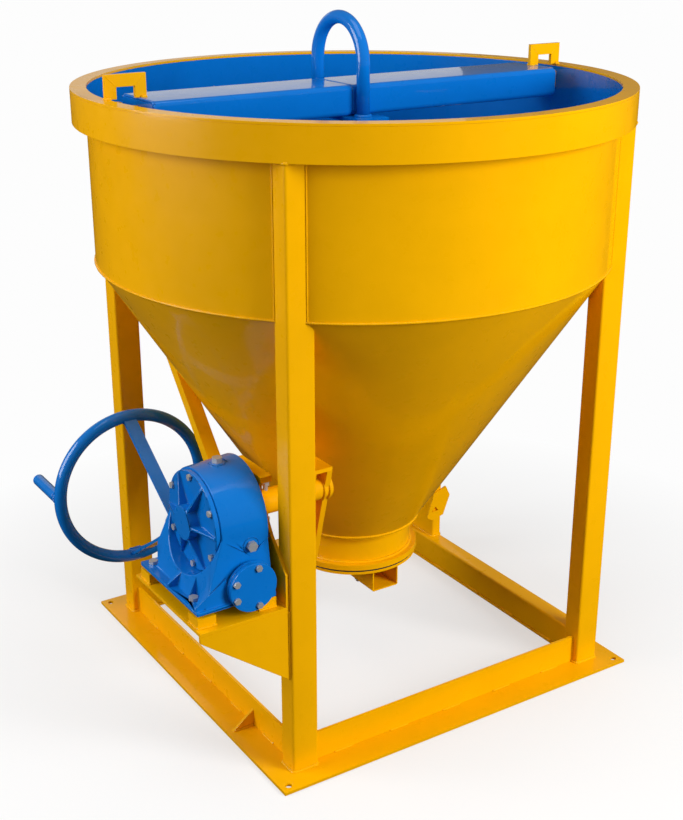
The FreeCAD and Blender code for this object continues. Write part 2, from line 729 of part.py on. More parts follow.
def make_housing(foot_holes, bolt_holes):
    drum = doc.addObject("Part::Cone", "Drum")
    link(drum, "Radius1", "drum_small")
    link(drum, "Radius2", "drum_big")
    link(drum, "Height", "drum_front - drum_back")
    place(drum, "-drum_front", "-axis_front", "axis_height", "x")
    pedestal = doc.addObject("Part::Wedge", "Pedestal")
    limits = {
        "Xmin": "-case_outer + 22", "Xmax": "-case_inner - 4",
        "Ymin": f"{CASE_BOTTOM} + foot_thick", "Ymax": "axis_height",
        "Zmin": "case_back + 6", "Zmax": "case_front - 6",
        "X2min": "-drum_front", "X2max": "-drum_back",
        "Z2min": "axis_front - drum_small", "Z2max": "axis_front + drum_small",
    }
    for prop, formula in limits.items():
        link(pedestal, prop, formula)
    pedestal.Placement.Rotation = FreeCAD.Rotation(FreeCAD.Vector(1, 0, 0), 90)
    base = box("-case_outer", "-case_front", CASE_BOTTOM,
               "-case_inner", "-case_back", f"{CASE_BOTTOM} + foot_thick")
    notch_half = "(case_outer - case_inner) / 2 - foot_side"
    middle = "-(case_outer + case_inner) / 2"
    tunnel = rod("tunnel_radius", CASE_LONG, "-gear_middle", "-case_front", WORM_HEIGHT, "y")
    collar_front = rod("worm_cover_radius", "collar_long", "-gear_middle", "-case_front", WORM_HEIGHT, "y")
    collar_back = rod("worm_cover_radius", "collar_long", "-gear_middle", "-case_back - collar_long", WORM_HEIGHT, "y")
    boss = rod("boss_radius", "drum_back + casing_wall - boss_end", "-drum_back - casing_wall",
               "-axis_front", "axis_height", "x")
    flange = rod("side_cover_radius", "front_wall", "-drum_front", "-axis_front", "axis_height", "x")
    ribs = []
    for y in ("-case_front + 2 * rib_thick", "-(case_front + case_back) / 2 + rib_thick / 2", "-case_back - rib_thick"):
        rib = plate("XZ_Plane", [
            ("-case_outer", f"{CASE_BOTTOM} + foot_thick"),
            ("-drum_front", f"{CASE_BOTTOM} + foot_thick"),
            ("-drum_front", f"{CASE_BOTTOM} + foot_thick + pocket_high"),
            ("-case_outer", f"{CASE_BOTTOM} + foot_thick + rib_thick"),
        ], "rib_thick", 0, y, 0)
        ribs.append(rib)
    top_boss = rod("plug_head * 1.5", 26, "-gear_middle", "-axis_front", "axis_height + drum_small - 20")
    side_boss = rod("plug_head * 1.5", "plug_face - axis_front - 70", "-plug_place", "-plug_face", "plug_height", "y")
    body = fuse(base, pedestal, drum, tunnel, collar_front, collar_back, boss, flange,
                top_boss, side_boss, *ribs)
    tools = [
        rod("cavity_radius - 22", "drum_front - drum_back - casing_wall", "-drum_front",
            "-axis_front", "axis_height", "x"),
        rod("cavity_radius", "drum_front - drum_back - casing_wall - front_wall", "-drum_front + front_wall",
            "-axis_front", "axis_height", "x"),
        rod("worm_bearing_radius", f"{CASE_LONG} + 2", "-gear_middle", "-case_front - 1", WORM_HEIGHT, "y"),
        rod("wheel_bearing_radius", "wheel_bearing_wide", "-drum_back - casing_wall",
            "-axis_front", "axis_height", "x"),
        rod("seal_outer_radius", 60, "-drum_back - casing_wall", "-axis_front", "axis_height", "x"),
    ]
    notch = box(f"{middle} - {notch_half}", "-case_front - 1", f"{CASE_BOTTOM} - 1",
                f"{middle} + {notch_half}", "-case_back + 1", f"{CASE_BOTTOM} + underside_relief")
    # The casing is faced flat behind the side cover, and cut back over each foot bolt.
    tools.append(rod("side_cover_radius + 1", "case_outer", "-drum_front", "-axis_front", "axis_height", "-x"))
    for index, (x, y) in enumerate(foot_centres("foot_bolt_inset", "foot_side / 2")):
        inward, outward = ("pocket_half", "pocket_reach") if index < 2 else ("pocket_reach", "pocket_half")
        tools.append(box(f"({x}) - {outward}", f"({y}) - pocket_half", f"{CASE_BOTTOM} + foot_thick",
                         f"({x}) + {inward}", f"({y}) + pocket_half", f"{CASE_BOTTOM} + foot_thick + pocket_high"))
    plugs = make_plugs()
    bored = cut(body, *tools, notch, *foot_holes, *bolt_holes)
    node(cut(bored, *plugs), "gearbox_housing")
    node(group(*plugs), "gearbox_plugs")


def make_side_cover(bolt_holes):
    front = "-(drum_front + side_cover_thick)"
    seat = "(drum_front - wheel_bearing_wide)"
    disc = turned("x", [
        (front, 0),
        ("-drum_front", 0),
        ("-drum_front", "wheel_bearing_radius"),
        (f"-{seat}", "wheel_bearing_radius"),
        (f"-{seat}", "boss_radius"),
        ("-drum_front", "boss_radius"),
        ("-drum_front", "side_cover_radius"),
        (front, "side_cover_radius"),
    ], 0, "-axis_front", "axis_height")
    hub = rod("cover_hub_radius", "cover_hub_high", f"{front} - cover_hub_high", "-axis_front", "axis_height", "x")
    ribs = []
    limits = {
        "Xmin": "-cover_hub_high + 2", "Xmax": 1, "Zmin": "-cover_rib_thick / 2", "Zmax": "cover_rib_thick / 2",
        "Ymin": "cover_hub_radius - 6", "Ymax": "side_cover_radius - 4",
        "X2min": -4, "X2max": 1, "Z2min": "-cover_rib_thick / 2", "Z2max": "cover_rib_thick / 2",
    }
    for index in range(int(size("cover_rib_count"))):
        rib = doc.addObject("Part::Wedge", "CoverRib")
        for prop, formula in limits.items():
            link(rib, prop, formula)
        rib.Placement.Rotation = FreeCAD.Rotation(ALONG_X, index * 360 / size("cover_rib_count"))
        link(rib, "Placement.Base.x", front)
        link(rib, "Placement.Base.y", "-axis_front")
        link(rib, "Placement.Base.z", "axis_height")
        ribs.append(rib)
    node(cut(fuse(disc, hub, *ribs), *bolt_holes), "gearbox_side_cover")


def make_worm_covers(bolt_holes):
    front = ring("y", 0, "worm_cover_radius", "-(case_front + worm_cover_thick)", "-case_front",
                 "-gear_middle", 0, WORM_HEIGHT)
    end_cover = cut(front, *bolt_holes)
    back = ring("y", "seal_radius", "worm_cover_radius", "-case_back", "-(case_back - worm_cover_thick)",
                "-gear_middle", 0, WORM_HEIGHT)
    node(group(end_cover, cut(back, *bolt_holes)), "worm_covers")
    seal = ring("y", "worm_shaft_radius + running_gap", "seal_radius", "-case_back + 2",
                "-(case_back - worm_cover_thick)", "-gear_middle", 0, WORM_HEIGHT)
    return seal


def make_plugs():
    """Filler plug on top of the drum and level plug in its boss on the front."""
    top = fuse(hexagon("plug_head", 12, "-gear_middle", "-axis_front", "axis_height + drum_small + 6"),
               rod("plug_radius", 20, "-gear_middle", "-axis_front", "axis_height + drum_small - 13"))
    side = fuse(hexagon("plug_head", 10, "-plug_place", "-plug_face", "plug_height", "-y"),
                rod("plug_radius", 16, "-plug_place", "-plug_face", "plug_height", "y"))
    return top, side


def bearing(axis, shaft, outer, wide, start, x, y, z):
    """A shielded ball bearing drawn as one ring with a sunk face on each side."""
    groove = "1.2"
    inner_lip = f"({shaft}) + 0.2 * (({outer}) - ({shaft}))"
    outer_lip = f"({outer}) - 0.2 * (({outer}) - ({shaft}))"
    end = f"({start}) + ({wide})"
    return turned(axis, [
        (start, shaft), (start, inner_lip), (f"({start}) + {groove}", inner_lip),
        (f"({start}) + {groove}", outer_lip), (start, outer_lip), (start, outer),
        (end, outer), (end, outer_lip), (f"({end}) - {groove}", outer_lip),
        (f"({end}) - {groove}", inner_lip), (end, inner_lip), (end, shaft),
    ], x, y, z)


def make_bearings(worm_seal):
    shaft = "(worm_shaft_radius + running_gap)"
    front = bearing("y", shaft, "worm_bearing_radius", "worm_bearing_wide", "-case_front",
                    "-gear_middle", 0, WORM_HEIGHT)
    back = bearing("y", shaft, "worm_bearing_radius", "worm_bearing_wide", "-case_back - worm_bearing_wide",
                   "-gear_middle", 0, WORM_HEIGHT)
    shaft = "(shaft_radius + running_gap)"
    outer = bearing("x", shaft, "wheel_bearing_radius", "wheel_bearing_wide", "-drum_front",
                    0, "-axis_front", "axis_height")
    inner = bearing("x", shaft, "wheel_bearing_radius", "wheel_bearing_wide", "-drum_back - casing_wall",
                    0, "-axis_front", "axis_height")
    node(group(front, back, outer, inner), "gearbox_bearings")
    seal = ring("x", shaft, "seal_outer_radius", "-drum_back - casing_wall + wheel_bearing_wide", "-boss_end - 1",
                0, "-axis_front", "axis_height")
    node(group(worm_seal, seal), "shaft_seals")


def make_worm():
    """Worm shaft with its helical thread, along Y below the wheel."""
    core = size("worm_tip") - size("worm_tooth")
    long = size("worm_long")
    lead = size("worm_lead")
    start = -size("axis_front") - long / 2
    centre_x = -size("gear_middle")
    centre_z = size("axis_height") - size("worm_drop")
    helix = Part.makeHelix(lead, long - lead, core)
    tip, root = lead * 0.14, lead * 0.30
    profile = Part.makePolygon([
        FreeCAD.Vector(core - 0.6, 0, -root),
        FreeCAD.Vector(size("worm_tip"), 0, -tip),
        FreeCAD.Vector(size("worm_tip"), 0, tip),
        FreeCAD.Vector(core - 0.6, 0, root),
        FreeCAD.Vector(core - 0.6, 0, -root),
    ])
    thread = Part.Wire(helix).makePipeShell([profile], True, True)
    thread.translate(FreeCAD.Vector(0, 0, lead / 2))
    drum = Part.makeCylinder(core, long)
    worm = drum.fuse(thread)
    worm.Placement = FreeCAD.Placement(FreeCAD.Vector(centre_x, start, centre_z), TURNS["y"])
    shaft_start = -size("case_front") + 2
    shaft_end = -size("hub_end")
    radius = size("worm_shaft_radius")
    shaft = Part.makeCylinder(radius, shaft_end - shaft_start, FreeCAD.Vector(centre_x, shaft_start, centre_z), ALONG_Y)
    nose_long = size("hub_nut_high") + 4
    nose = Part.makeCylinder(radius * 0.8, nose_long, FreeCAD.Vector(centre_x, shaft_end, centre_z), ALONG_Y)
    piece = doc.addObject("Part::Feature", "WormShaft")
    piece.Shape = shaft.fuse([worm, nose]).removeSplitter()
    node(piece, "worm_shaft")


def make_worm_wheel():
    """Toothed wheel on the output shaft, one outline extruded across its width."""
    tip = size("wheel_tip")
    root = tip - size("wheel_tooth")
    count = int(size("wheel_teeth"))
    points = []
    for index in range(count):
        for part, radius in ((-0.26, root), (-0.13, tip), (0.13, tip), (0.26, root)):
            angle = math.radians((index + 0.5 + part) * 360 / count)
            points.append(FreeCAD.Vector(0, radius * math.cos(angle), radius * math.sin(angle)))
    points.append(points[0])
    blank = Part.Face(Part.makePolygon(points)).extrude(FreeCAD.Vector(size("wheel_wide"), 0, 0))
    bore = Part.makeCylinder(size("shaft_radius"), size("wheel_wide"), FreeCAD.Vector(), ALONG_X)
    piece = doc.addObject("Part::Feature", "WormWheel")
    piece.Shape = blank.cut(bore)
    piece.Placement.Base = FreeCAD.Vector(-size("gear_middle") - size("wheel_wide") / 2,
                                          -size("axis_front"), size("axis_height"))
    key_wide, key_high = 12, 4
    key = box("-gear_middle - wheel_wide / 2 + 2", f"-axis_front - {key_wide} / 2", f"axis_height + shaft_radius - {key_high}",
              "-gear_middle + wheel_wide / 2 - 2", f"-axis_front + {key_wide} / 2", f"axis_height + shaft_radius + {key_high}")
    node(cut(piece, key), "worm_wheel")
    return key


def make_output_shaft(key):
    end = "(leg_face - 60)"
    shaft = rod("shaft_radius", f"drum_front - 2 - {end}", "-drum_front + 2", "-axis_front", "axis_height", "x")
    pin_x = f"-{end} - 22"
    pin_half = "(tube_radius + 12)"
    hole = rod("coupling_pin_radius", f"2 * {pin_half}", pin_x, "-axis_front", f"axis_height - {pin_half}")
    node(cut(shaft, key, hole), "output_shaft")
    sleeve = ring("x", "shaft_radius", "tube_radius", "-boss_end + 1", "-arm_right + 10",
                  0, "-axis_front", "axis_height")
    node(cut(sleeve, hole), "torque_tube")
    pin = fuse(hole, hexagon("coupling_pin_radius * 1.8", 7, pin_x, "-axis_front", f"axis_height + {pin_half}"),
               hexagon("coupling_pin_radius * 1.8", 7, pin_x, "-axis_front", f"axis_height - {pin_half} - 7"))
    node(group(pin, key), "shaft_fasteners")


def make_gate_arm():
    front_top = "-(axis_front + arm_nose)"
    rear_top = "-(axis_front - arm_heel)"
    top = "(axis_height + arm_top)"
    right = plate("YZ_Plane", [
        (front_top, top),
        ("-arm_front_foot", "arm_foot + arm_foot_high"),
        ("-arm_front_foot + 14", "arm_foot"),
        ("arm_reach", "arm_foot"),
        ("arm_reach", "arm_foot + arm_foot_high"),
        ("-arm_front_foot + 80", "arm_foot + arm_foot_high"),
        ("-(axis_front - arm_heel - 12)", "axis_height - 5"),
        (rear_top, top),
    ], "arm_thick", "-arm_right - arm_thick", 0, 0)
    left = plate("YZ_Plane", [
        (front_top, top),
        ("-(axis_front - 24)", "axis_height - 220"),
        ("-(axis_front - 60)", "axis_height - 220"),
        ("-(axis_front - arm_heel - 12)", "axis_height - 5"),
        (rear_top, top),
    ], "arm_thick", "-arm_left", 0, 0)
    bore = rod("tube_radius", "arm_left", "-arm_left - 5", "-axis_front", "axis_height", "x")
    node(cut(right, bore), "gate_arm_right")
    node(cut(left, bore), "gate_arm_left")
    lid = box("-arm_left", front_top, top, "-arm_right", rear_top, f"{top} + 10")
    node(lid, "gate_arm_top")
    bar_z = "(arm_foot + arm_foot_high / 2 - cross_bar_side / 2)"
    bar = box("-arm_right", "cross_bar_place", bar_z,
              "-gate_tube_wide / 2", "cross_bar_place + cross_bar_side", f"{bar_z} + cross_bar_side")
    node(bar, "gate_cross_bar")


def make_gate():
    bolt_places = (("-gate_bolt_across", "-gate_bolt_front"), ("gate_bolt_across", "gate_bolt_back"))
    foot = f"({GATE_TUBE_TOP} - gate_tube_high)"
    outer = box("-gate_tube_wide / 2", "-gate_tube_front", foot, "gate_tube_wide / 2", "gate_tube_back", GATE_TUBE_TOP)
    inner = box("-gate_tube_wide / 2 + gate_tube_wall", "-gate_tube_front - 1", f"{foot} + gate_tube_wall",
                "gate_tube_wide / 2 - gate_tube_wall", "gate_tube_back + 1", f"{GATE_TUBE_TOP} - gate_tube_wall")
    tube = cut(rounded(outer, ALONG_Y, 5), inner)
    disc = rod("gate_radius", "gate_thick", 0, 0, GATE_TUBE_TOP)
    holes, bolts = [], []
    shank = "(gate_thick + gate_tube_high)"
    for x, y in bolt_places:
        holes.append(rod("gate_bolt_radius", shank, x, y, foot))
        bolts.append(fuse(rod("gate_bolt_radius", f"{shank} + 16", x, y, f"{foot} - 16"),
                          hexagon("gate_bolt_head", 4, x, y, GATE_TOP)))
        bolts.append(cut(hexagon("gate_bolt_head", 9, x, y, f"{foot} - 9"),
                         rod("gate_bolt_radius", 20, x, y, f"{foot} - 16")))
    node(cut(tube, *holes), "gate_tube")
    node(cut(disc, *holes), "gate_plate")
    node(group(*bolts), "gate_bolts")
    node(ring("z", "seal_inner", "gate_radius", GATE_TOP, f"{GATE_TOP} + seal_thick"), "gate_seal")


def wheel_ring():
    piece = doc.addObject("Part::Torus", "WheelRing")
    link(piece, "Radius1", "ring_radius")
    link(piece, "Radius2", "ring_bar")
    return place(piece, "-gear_middle", "ring_plane", WORM_HEIGHT, "y")


def make_handwheel():
    hub_start = "(hub_end + hub_long)"
    hub = ring("y", "worm_shaft_radius", "hub_radius", f"-{hub_start}", "-hub_end",
               "-gear_middle", 0, WORM_HEIGHT)
    key = box("-gear_middle - 4", f"-{hub_start} + 6", f"{WORM_HEIGHT} + worm_shaft_radius - 3",
              "-gear_middle + 4", "-hub_end - 6", f"{WORM_HEIGHT} + worm_shaft_radius + 3")
    node(cut(hub, key), "handwheel_hub")
    shaft = nodes[[piece.Label for piece in nodes].index("worm_shaft")]
    nodes.remove(shaft)
    shaft.Label = "worm_shaft_blank"
    node(cut(shaft, key), "worm_shaft")
    rim = wheel_ring()
    node(rim, "handwheel_ring")
    middle = f"(-{hub_start} + hub_long / 2)"
    drop = "spoke_thick * 1.2"
    spokes = []
    for side in ("1", "-1"):
        bar = plate("YZ_Plane", [
            (middle, f"{side} * (hub_radius - 6)"),
            (f"{middle} + {drop}", f"{side} * (hub_radius - 6)"),
            ("ring_plane + 2", f"{side} * (ring_radius - 6)"),
            (f"ring_plane + 2 - {drop}", f"{side} * (ring_radius - 2)"),
        ], "spoke_wide", "-gear_middle - spoke_wide / 2", 0, WORM_HEIGHT)
        clear = rod("hub_radius", "hub_long * 3", "-gear_middle", f"-{hub_start} - hub_long", WORM_HEIGHT, "y")
        spokes.append(cut(bar, clear, wheel_ring()))
    node(group(*spokes), "handwheel_spokes")
    nut = cut(hexagon("hub_nut_radius", "hub_nut_high", "-gear_middle", "-hub_end", WORM_HEIGHT, "y"),
              rod("worm_shaft_radius * 0.8", "hub_nut_high + 2", "-gear_middle", "-hub_end - 1", WORM_HEIGHT, "y"))
    node(group(nut, key), "hub_fasteners")


def make_crank():
    x = "-gear_middle + ring_radius * cos(crank_angle)"
    z = f"{WORM_HEIGHT} + ring_radius * sin(crank_angle)"
    start = "(ring_plane + ring_bar - 4)"
    grip_start = "(ring_plane + ring_bar + collar_long)"
    pin_long = "(4 + collar_long + grip_long - 12)"
    pin = fuse(rod("pin_radius", pin_long, x, start, z, "y"),
               rod("collar_radius", "collar_long + 3.7", x, start, z, "y"))
    node(cut(pin, wheel_ring()), "crank_pin")
    grip = turned("y", [
        (grip_start, "pin_radius + grip_gap"),
        (grip_start, "grip_radius - 1.5"),
        (f"{grip_start} + 2", "grip_radius"),
        (f"{grip_start} + grip_long - 5", "grip_radius"),
        (f"{grip_start} + grip_long - 2", "grip_radius - 3"),
        (f"{grip_start} + grip_long", "grip_radius - 8"),
        (f"{grip_start} + grip_long", 0),
        (f"{grip_start} + grip_long - 10", 0),
        (f"{grip_start} + grip_long - 10", "pin_radius + grip_gap"),
    ], x, 0, z)
    node(grip, "crank_grip")


def check_and_write():
    doc.recompute()
    for item in doc.Objects:
        if "Invalid" in item.State or "Error" in item.State:
            raise RuntimeError(f"{item.Name} ({item.Label}) did not build")
    os.makedirs("parts", exist_ok=True)
    for piece in nodes:
        shape = piece.Shape
        if shape.isNull() or not shape.isValid() or not shape.Solids:
            raise RuntimeError(f"{piece.Label} has no valid solid")
        shape.exportStep(f"parts/{piece.Label}.step")
    print(len(nodes), "nodes written")


make_sole()
make_legs()
make_rails()
make_post()
make_hopper()
make_rim()
make_beam()
shelf_blank = make_shelf()
foot_holes = make_blocks_and_foot_bolts(shelf_blank)
make_bearing_plate()
cover_holes = make_cover_bolts()
make_housing(foot_holes, cover_holes)
make_side_cover(cover_holes)
make_bearings(make_worm_covers(cover_holes))
make_worm()
make_output_shaft(make_worm_wheel())
make_gate_arm()
make_gate()
make_handwheel()
make_crank()
check_and_write()
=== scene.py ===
import json
import math
import random

import bpy
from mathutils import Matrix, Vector


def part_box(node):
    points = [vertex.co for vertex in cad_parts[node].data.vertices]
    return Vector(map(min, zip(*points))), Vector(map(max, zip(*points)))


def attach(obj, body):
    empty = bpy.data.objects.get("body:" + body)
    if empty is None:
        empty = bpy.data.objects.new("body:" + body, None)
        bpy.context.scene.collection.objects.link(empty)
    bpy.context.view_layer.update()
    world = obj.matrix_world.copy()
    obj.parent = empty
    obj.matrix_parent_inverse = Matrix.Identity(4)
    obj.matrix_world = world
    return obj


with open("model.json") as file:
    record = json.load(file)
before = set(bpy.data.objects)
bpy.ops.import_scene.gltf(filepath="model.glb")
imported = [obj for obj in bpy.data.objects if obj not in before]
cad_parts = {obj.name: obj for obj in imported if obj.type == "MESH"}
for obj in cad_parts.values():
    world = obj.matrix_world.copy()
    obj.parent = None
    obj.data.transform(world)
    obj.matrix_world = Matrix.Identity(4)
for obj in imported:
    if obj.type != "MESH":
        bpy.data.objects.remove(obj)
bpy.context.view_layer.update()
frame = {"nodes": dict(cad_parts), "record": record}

bl_info = {
    "name": "Concrete Bucket",
    "version": (1, 0, 0),
    "blender": (4, 5, 0),
    "location": "View3D > Sidebar > Bucket",
    "description": "Paint, weld beads and studio for a crane-lifted concrete bucket",
    "category": "Object",
}

NODES = frame["nodes"]
MM = 0.001

# Places read from the frame, in metres
SHELL_RADIUS = round(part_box("hopper_cylinder")[1].x, 3)
INNER_RADIUS = SHELL_RADIUS - 5 * MM
THROAT_RADIUS = round(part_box("outlet_throat")[1].x, 3)
FOOT_RADIUS = round(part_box("throat_ring")[1].x, 3)
SEAM_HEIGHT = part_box("hopper_cone")[1].z
RIM_LOW, RIM_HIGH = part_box("rim_bottom_ring")[0].z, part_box("rim_top_ring")[1].z
SOLE_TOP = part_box("sole_frame")[1].z

# Places inside larger boxes, which the frame doesn't give by themselves, in metres
LEG_FACE = -0.484
CASE_BACK = -0.505
SHAFT_Y, SHAFT_Z = -0.308, 0.645
STRUT_LEFT, STRUT_RIGHT = -0.445, -0.409
STRUT_FOOT_DEEP = 39 * MM
BEARING_PLATE_THICK = 8 * MM
BLOCK_SIDE = 46 * MM
LUG_BAR, LUG_LONG, LUG_HALF_THICK = 28 * MM, 100 * MM, 5 * MM
STITCH_LONG, STITCH_PITCH = 55 * MM, 165 * MM

# Where the welder's beads run round the shaft's bushes, the torque tube and the crank pin
BUSH_BEAD_RING, TUBE_BEAD_RING, PIN_BEAD_RING = 37 * MM, 31 * MM, 13 * MM

# The camera was fitted to the bucket's edges as they are seen
CAMERA_PLACE = (-1.8137, -2.7616, 1.9532)
CAMERA_DOWN, CAMERA_TURN = 0.3678, -0.5718
CAMERA_LENS = 58.035


class BucketSizes(bpy.types.PropertyGroup):
    """Sizes of the finish: weld beads and softened edges."""

    seam_bead: bpy.props.FloatProperty(
        name="Seam bead", description="Radius of the long seam welds",
        default=3.2 * MM, min=0.5 * MM, subtype="DISTANCE", unit="LENGTH")
    fillet_bead: bpy.props.FloatProperty(
        name="Fillet bead", description="Radius of the fillet welds in the corners",
        default=4.5 * MM, min=0.5 * MM, subtype="DISTANCE", unit="LENGTH")
    ripple: bpy.props.FloatProperty(
        name="Ripple", description="Distance between two ripples of a weld bead",
        default=6 * MM, min=1 * MM, subtype="DISTANCE", unit="LENGTH")
    plate_edge: bpy.props.FloatProperty(
        name="Plate edge", description="Rounding of cut plate edges",
        default=0.8 * MM, min=0, subtype="DISTANCE", unit="LENGTH")
    casting_edge: bpy.props.FloatProperty(
        name="Casting edge", description="Rounding of the casting's edges",
        default=2.5 * MM, min=0, subtype="DISTANCE", unit="LENGTH")


class BucketPaint(bpy.types.PropertyGroup):
    """Colours of the finish, as they would be mixed."""

    yellow: bpy.props.StringProperty(
        name="Yellow", description="Enamel on the hopper and frame", default="#F7B300")
    blue: bpy.props.StringProperty(
        name="Blue", description="Enamel on the inside, beam, gearbox and handwheel", default="#0574CE")
    zinc: bpy.props.StringProperty(
        name="Zinc", description="Bolts and plugs", default="#C6C7C9")
    steel: bpy.props.StringProperty(
        name="Steel", description="Ground shafts and bearing rings", default="#A6A8AB")
    bronze: bpy.props.StringProperty(
        name="Bronze", description="Worm wheel and bushes", default="#A67C45")
    rubber: bpy.props.StringProperty(
        name="Rubber", description="Seals", default="#242425")


class BucketStudio(bpy.types.PropertyGroup):
    """Power of the studio's lamps, in watts."""

    key: bpy.props.FloatProperty(name="Key", description="Soft box at the front right", default=200.0, min=0)
    fill: bpy.props.FloatProperty(name="Fill", description="Soft box at the left", default=120.0, min=0)
    top: bpy.props.FloatProperty(name="Top", description="Soft box overhead", default=26.0, min=0)
    back: bpy.props.FloatProperty(name="Back", description="Screen behind the bucket", default=15.0, min=0)


def linear(hex_colour):
    """An sRGB hex colour as linear RGBA."""
    parts = [int(hex_colour[i:i + 2], 16) / 255 for i in (1, 3, 5)]
    values = [c / 12.92 if c <= 0.04045 else ((c + 0.055) / 1.055) ** 2.4 for c in parts]
    return (*values, 1.0)


def shade(hex_colour, factor):
    """The same colour, lighter or darker by a factor on its linear values."""
    return tuple(min(1.0, c * factor) for c in linear(hex_colour)[:3]) + (1.0,)


def add(tree, kind, links=(), **settings):
    """Adds one node with its settings, sets its inputs and links it to other nodes."""
    made = tree.nodes.new(kind)
    for key, value in settings.items():
        setattr(made, key, value)
    for socket, value in links:
        target = made.inputs[socket]
        if isinstance(value, bpy.types.NodeSocket):
            tree.links.new(value, target)
        else:
            target.default_value = value
    return made


def new_material(name):
    material = bpy.data.materials.new(name)
    material.use_nodes = True
    tree = material.node_tree
    tree.nodes.clear()
    return material, tree


def finish_material(tree, shader):
    add(tree, "ShaderNodeOutputMaterial", [("Surface", shader.outputs[0])])


def enamel(name, colour, coat, cast=False):
    """Alkyd enamel sprayed on steel: glossy, with orange peel and faint mottling.

    On a rough casting the paint follows the sand texture below it.
    """
    material, tree = new_material(name)
    place = add(tree, "ShaderNodeTexCoord").outputs["Object"]
    # Uneven film thickness shows as cloudy patches about 120 mm across
    cloud = add(tree, "ShaderNodeTexNoise", [
        ("Vector", place), ("Scale", 8.0), ("Detail", 3.0), ("Roughness", 0.6)])
    tint = add(tree, "ShaderNodeValToRGB", [("Fac", cloud.outputs["Fac"])])
    tint.color_ramp.elements[0].position = 0.3
    tint.color_ramp.elements[0].color = shade(colour, 0.96)
    tint.color_ramp.elements[1].position = 0.7
    tint.color_ramp.elements[1].color = shade(colour, 1.02)
    # Overspray and handling leave the gloss uneven at about 30 mm
    haze = add(tree, "ShaderNodeTexNoise", [("Vector", place), ("Scale", 32.0), ("Detail", 2.0)])
    gloss = add(tree, "ShaderNodeMapRange", [
        ("Value", haze.outputs["Fac"]), ("From Min", 0.3), ("From Max", 0.7),
        ("To Min", 0.26), ("To Max", 0.36)])
    # Orange peel is 2 to 4 mm across. It is drawn at 4 mm so that it shows
    peel = add(tree, "ShaderNodeTexNoise", [("Vector", place), ("Scale", 250.0), ("Detail", 1.0)])
    # Rolled plate waves gently over about 150 mm
    wave = add(tree, "ShaderNodeTexNoise", [("Vector", place), ("Scale", 6.5), ("Detail", 0.0)])
    height = add(tree, "ShaderNodeMath", [(0, wave.outputs["Fac"]), (1, 2.0), (2, peel.outputs["Fac"])],
                 operation="MULTIPLY_ADD")
    if cast:
        # Moulding sand leaves grains of about 1.5 mm under the paint
        sand = add(tree, "ShaderNodeTexNoise", [("Vector", place), ("Scale", 420.0), ("Detail", 2.0)])
        height = add(tree, "ShaderNodeMath", [(0, sand.outputs["Fac"]), (1, 2.2), (2, height.outputs[0])],
                     operation="MULTIPLY_ADD")
    bump = add(tree, "ShaderNodeBump", [
        ("Strength", 0.35), ("Distance", 0.08 * MM), ("Height", height.outputs[0])])
    shader = add(tree, "ShaderNodeBsdfPrincipled", [
        ("Base Color", tint.outputs["Color"]), ("Roughness", gloss.outputs["Result"]),
        ("Normal", bump.outputs["Normal"]), ("Specular IOR Level", 0.14), ("Coat Weight", coat),
        ("Coat Roughness", 0.05)])
    finish_material(tree, shader)
    return material


def metal(name, colour, roughness, grain, shine=1.0):
    """Bare or plated metal with fine uneven gloss; grain is the pattern's size in millimetres."""
    material, tree = new_material(name)
    place = add(tree, "ShaderNodeTexCoord").outputs["Object"]
    spots = add(tree, "ShaderNodeTexNoise", [("Vector", place), ("Scale", 1000.0 / grain), ("Detail", 3.0)])
    tint = add(tree, "ShaderNodeValToRGB", [("Fac", spots.outputs["Fac"])])
    tint.color_ramp.elements[0].color = shade(colour, 0.75)
    tint.color_ramp.elements[1].color = shade(colour, 1.15)
    gloss = add(tree, "ShaderNodeMapRange", [
        ("Value", spots.outputs["Fac"]), ("To Min", roughness - 0.08), ("To Max", roughness + 0.1)])
    bump = add(tree, "ShaderNodeBump", [
        ("Strength", 0.2), ("Distance", 0.1 * MM), ("Height", spots.outputs["Fac"])])
    shader = add(tree, "ShaderNodeBsdfPrincipled", [
        ("Base Color", tint.outputs["Color"]), ("Roughness", gloss.outputs["Result"]), ("Metallic", shine),
        ("Normal", bump.outputs["Normal"])])
    finish_material(tree, shader)
    return material


def rubber(name, colour):
    """Moulded nitrile rubber: matt, with a fine bloom."""
    material, tree = new_material(name)
    place = add(tree, "ShaderNodeTexCoord").outputs["Object"]
    bloom = add(tree, "ShaderNodeTexNoise", [("Vector", place), ("Scale", 90.0), ("Detail", 4.0)])
    tint = add(tree, "ShaderNodeValToRGB", [("Fac", bloom.outputs["Fac"])])
    tint.color_ramp.elements[0].color = linear(colour)
    tint.color_ramp.elements[1].color = shade(colour, 1.9)
    bump = add(tree, "ShaderNodeBump", [
        ("Strength", 0.3), ("Distance", 0.2 * MM), ("Height", bloom.outputs["Fac"])])
    shader = add(tree, "ShaderNodeBsdfPrincipled", [
        ("Base Color", tint.outputs["Color"]), ("Roughness", 0.72), ("Normal", bump.outputs["Normal"])])
    finish_material(tree, shader)
    return material


MATERIALS = {}


def make_materials():
    paint = bpy.context.scene.bucket_paint
    MATERIALS["yellow"] = enamel("yellow_enamel_on_steel", paint.yellow, 0.4)
    MATERIALS["blue"] = enamel("blue_enamel_on_steel", paint.blue, 1.0)
    MATERIALS["casting"] = enamel("blue_enamel_on_cast_iron", paint.blue, 0.8, cast=True)
    MATERIALS["zinc"] = metal("dull_zinc_plate", paint.zinc, 0.38, 2.5, shine=0.5)
    MATERIALS["steel"] = metal("ground_steel", paint.steel, 0.28, 1.2)
    MATERIALS["bronze"] = metal("machined_bronze", paint.bronze, 0.34, 1.6)
    MATERIALS["rubber"] = rubber("nitrile_rubber", paint.rubber)


